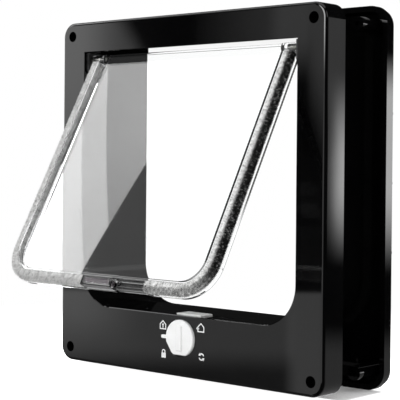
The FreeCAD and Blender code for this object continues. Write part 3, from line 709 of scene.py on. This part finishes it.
def stripFibres(low, high, side, material, name, clumps):
    """Short tapered fibres that stand out of the backing: each is a three-sided spike of four triangles."""
    count = pile["fibres"]
    share = random.uniform(*pile["fibreEnds"], count)
    angle = random.uniform(-math.pi / 2, math.pi / 2, count)
    root = stripPoints(share, angle, pile["coreShare"] - pile["fibreRoot"], low, high, side)
    length = 1.0 - pile["tipSpread"] * random.uniform(0, 4, count) ** 1.5 / 3
    tip = stripPoints(share, angle, length, low, high, side)
    tip += random.uniform(-1, 1, (count, 3)) * pile["lean"]
    along = tip - root
    along /= np.linalg.norm(along, axis=1)[:, None]
    across = np.cross(along, random.normal(size=(count, 3)))
    across /= np.linalg.norm(across, axis=1)[:, None]
    other = np.cross(along, across)
    width = pile["fibreWidth"] * random.uniform(*pile["widthSpread"], count)[:, None]
    turns = (0, math.tau / 3, 2 * math.tau / 3)
    corners = [root + width * (across * math.cos(turn) + other * math.sin(turn)) for turn in turns]
    points = np.stack(corners + [tip], 1).reshape(-1, 3)
    points = turnAboutHinge(points, -pile["openAngle"])
    start = np.arange(count)[:, None, None] * 4
    spike = np.array([[0, 2, 1], [0, 1, 3], [1, 2, 3], [2, 0, 3]])
    piece = newPiece(name, points, (start + spike).reshape(-1, 3).tolist(), material, smooth=False)
    paintedLight = stripPaintedLight(share, angle + random.normal(size=count) * pile["highlightSpread"], side, clumps)
    paintedLight *= 1 + random.normal(size=count) * pile["fibreSpread"]
    givePaintedLight(piece, np.repeat(paintedLight, 4))
    reach = piece.data.attributes.new("fibreTip", "FLOAT", "POINT")
    reach.data.foreach_set("value", np.tile([0.0, 0.0, 0.0, 1.0], count).astype(np.float32))
    return piece


def makePile():
    backing = backingFinish()
    fibre = fibreFinish()
    for name, side in (("left", -1), ("right", 1)):
        node = "pile_seal_" + name
        low, high = closedBox(node)
        clumps = random.normal(size=pile["clumps"])
        core = stripCore(low, high, side, backing, "pile_backing_" + name, clumps)
        fibres = stripFibres(low, high, side, fibre, "pile_fibres_" + name, clumps)
        for piece in (core, fibres):
            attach(piece, "flap")
            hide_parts(node)


# The printed signs round the dial, in millimetres from its axis on the front face
signs = {
    "stroke": 0.75 * mm,
    "thickness": 0.03 * mm,
    "housePlace": (-16.6, 7.7),
    "exitPlace": (18.3, 8.8),
    "lockPlace": (-15.8, -11.9),
    "turnPlace": (19.0, -10.8),
    "size": 2.9,
    "shackle": {"foot": 0.1, "middle": 0.45, "radius": 0.42, "steps": 11},
    "circle": {"radius": 0.72, "starts": (20, 200), "sweep": 105, "steps": 10, "stroke": 1.2,
               "headHalf": 0.42, "headLength": 0.62},
}
# Outlines in units of the signs' size
outlines = {
    "house": ((-0.9, -0.95), (0.9, -0.95), (0.9, 0.15), (0, 0.95), (-0.9, 0.15)),
    "arrowUp": ((-0.12, -0.75), (0.12, -0.75), (0.12, -0.1), (0.38, -0.1), (0, 0.45), (-0.38, -0.1),
                (-0.12, -0.1)),
    "arrowOut": ((-0.55, -0.45), (-1.0, -0.45), (-1.0, -0.7), (-1.45, -0.25), (-1.0, 0.2), (-1.0, -0.05),
                 (-0.55, -0.05)),
    "lockBody": ((-0.69, -1.05), (0.69, -1.05), (0.69, 0.15), (-0.69, 0.15)),
}


def strokeMesh(line, width, closed):
    """A band of even width along a line of points: each point is moved out and in along its mitred normal."""
    line = np.array(line, float)
    ahead = np.roll(line, -1, 0) - line
    behind = line - np.roll(line, 1, 0)
    if not closed:
        ahead[-1] = behind[-1]
        behind[0] = ahead[0]
    ahead /= np.linalg.norm(ahead, axis=1)[:, None]
    behind /= np.linalg.norm(behind, axis=1)[:, None]
    normalAhead = np.stack([-ahead[:, 1], ahead[:, 0]], 1)
    normalBehind = np.stack([-behind[:, 1], behind[:, 0]], 1)
    mitre = normalAhead + normalBehind
    mitre /= (mitre * normalAhead).sum(1)[:, None]
    points = np.concatenate([line + mitre * width / 2, line - mitre * width / 2])
    count = len(line)
    first = np.arange(count if closed else count - 1)
    second = (first + 1) % count
    return points, np.stack([first, second, second + count, first + count], 1)


def fillMesh(outline):
    """One flat face over an outline."""
    return np.array(outline, float), [list(range(len(outline)))]


def arcLine(middle, radius, startAngle, endAngle, steps):
    turn = np.radians(np.linspace(startAngle, endAngle, steps))
    return np.stack([middle[0] + radius * np.cos(turn), middle[1] + radius * np.sin(turn)], 1)


def makeSigns():
    """House with an arrow inside, house with an arrow leaving, padlock and two circling arrows."""
    size, width = signs["size"] * mm, signs["stroke"]
    drawn = {name: np.array(outline) * size for name, outline in outlines.items()}
    bow = signs["shackle"]
    arch = arcLine((0, bow["middle"]), bow["radius"], 0, 180, bow["steps"])
    shackle = np.concatenate([[(bow["radius"], bow["foot"])], arch, [(-bow["radius"], bow["foot"])]]) * size
    drawings = [
        (signs["housePlace"], [strokeMesh(drawn["house"], width, True), fillMesh(drawn["arrowUp"])]),
        (signs["exitPlace"], [strokeMesh(drawn["house"], width, True), fillMesh(drawn["arrowOut"])]),
        (signs["lockPlace"], [fillMesh(drawn["lockBody"]), strokeMesh(shackle, width, False)]),
    ]
    circling, circle = [], signs["circle"]
    for start in circle["starts"]:
        stop = start + circle["sweep"]
        arc = arcLine((0, 0), circle["radius"] * size, start, stop, circle["steps"])
        circling.append(strokeMesh(arc, width * circle["stroke"], False))
        end = math.radians(stop)
        heading = np.array([-math.sin(end), math.cos(end)])
        out = np.array([math.cos(end), math.sin(end)])
        foot = out * circle["radius"] * size
        half = out * circle["headHalf"] * size
        circling.append(fillMesh([foot - half, foot + half, foot + heading * circle["headLength"] * size]))
    drawings.append((signs["turnPlace"], circling))
    dial = next(joint for joint in frame["joints"] if joint["name"] == "dial_turn")["pos_m"]
    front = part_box("interior_frame")[0][1]
    points, faces, start = [], [], 0
    for place, shapes in drawings:
        for flat, ring in shapes:
            x = flat[:, 0] + place[0] * mm
            z = flat[:, 1] + place[1] * mm + dial[2]
            points.append(np.stack([x, np.full(len(x), front - signs["thickness"]), z], 1))
            faces += [[start + int(i) for i in face] for face in ring]
            start += len(flat)
    ink = newPiece("dial_signs", np.concatenate(points), faces, printFinish(), smooth=False)
    bpy.context.view_layer.objects.active = ink
    thicken = ink.modifiers.new("thickness", "SOLIDIFY")
    thicken.thickness = signs["thickness"]
    thicken.offset = -1
    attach(ink, "frame")


# The floor, which is white and keeps the soft shade under the frames
ground = {
    "reach": 6.0, "tone": 0.97, "roughness": 0.9, "lift": 1.0, "shadedLift": 0.1, "fade": (0.20, 0.5),
    "shadedX": (0.118, 0.126), "shadedMiddleY": 0.0215, "shadedY": (0.0205, 0.026),
}


def makeFloor():
    low = cadBox[0][2]
    reach = ground["reach"]
    corners = np.array([(x * reach, y * reach, low) for x, y in ((-1, -1), (1, -1), (1, 1), (-1, 1))])
    material, tree, shader, output = newFinish("floorWhite")
    tone = ground["tone"]
    shader.inputs["Base Color"].default_value = (tone, tone, tone, 1)
    shader.inputs["Roughness"].default_value = ground["roughness"]
    shader.inputs["Specular IOR Level"].default_value = 0.0
    shader.inputs["Emission Color"].default_value = (1, 1, 1, 1)
    place = addNode(tree, "ShaderNodeTexCoord").outputs["Object"]
    split = addNode(tree, "ShaderNodeSeparateXYZ")
    feed(tree, place, split.inputs[0])
    offMiddle = maths(tree, "SUBTRACT", split.outputs["Y"], ground["shadedMiddleY"])
    fromMiddle = maths(tree, "ABSOLUTE", offMiddle)
    aside = ramp(tree, maths(tree, "ABSOLUTE", split.outputs["X"]), *ground["shadedX"])
    before = ramp(tree, fromMiddle, *ground["shadedY"])
    lift = ramp(tree, maths(tree, "MAXIMUM", aside, before), 0.0, 1.0, ground["shadedLift"], ground["lift"])
    path = addNode(tree, "ShaderNodeLightPath")
    seenLift = maths(tree, "MULTIPLY", lift, path.outputs["Is Camera Ray"])
    feed(tree, seenLift, shader.inputs["Emission Strength"])
    flat = addNode(tree, "ShaderNodeVectorMath", operation="LENGTH")
    feed(tree, place, flat.inputs[0])
    far = ramp(tree, flat.outputs["Value"], *ground["fade"])
    white = addNode(tree, "ShaderNodeEmission")
    mix = addNode(tree, "ShaderNodeMixShader")
    feed(tree, maths(tree, "MULTIPLY", far, path.outputs["Is Camera Ray"]), mix.inputs[0])
    tree.links.new(shader.outputs[0], mix.inputs[1])
    tree.links.new(white.outputs[0], mix.inputs[2])
    tree.links.new(mix.outputs[0], output.inputs["Surface"])
    floor = newPiece("floor", corners, [[0, 1, 2, 3]], material, smooth=False)
    floor.visible_glossy = False
    floor.visible_transmission = False


keyLamp = {"place": (-0.9, -1.1, 1.2), "size": 1.2, "power": 15.5}


def makeLamp():
    """One large soft lamp from the upper left. It stays out of reflections, which show the studio."""
    data = bpy.data.lights.new("key", "AREA")
    data.size = keyLamp["size"]
    data.energy = keyLamp["power"]
    light = bpy.data.objects.new("key", data)
    aim = Vector((0, 0, 0)) - Vector(keyLamp["place"])
    turn = aim.to_track_quat("-Z", "Y").to_matrix().to_4x4()
    light.matrix_world = Matrix.Translation(keyLamp["place"]) @ turn
    light.visible_glossy = False
    light.visible_transmission = False
    bpy.context.scene.collection.objects.link(light)


makeCamera(cameraView)
makeWorld()
print("camera and studio ready")
dressNodes()
print("finishes given to the imported pieces")
makePile()
print("pile strips made")
makeSigns()
print("signs made")
makeFloor()
makeLamp()
print("floor and lamp ready")
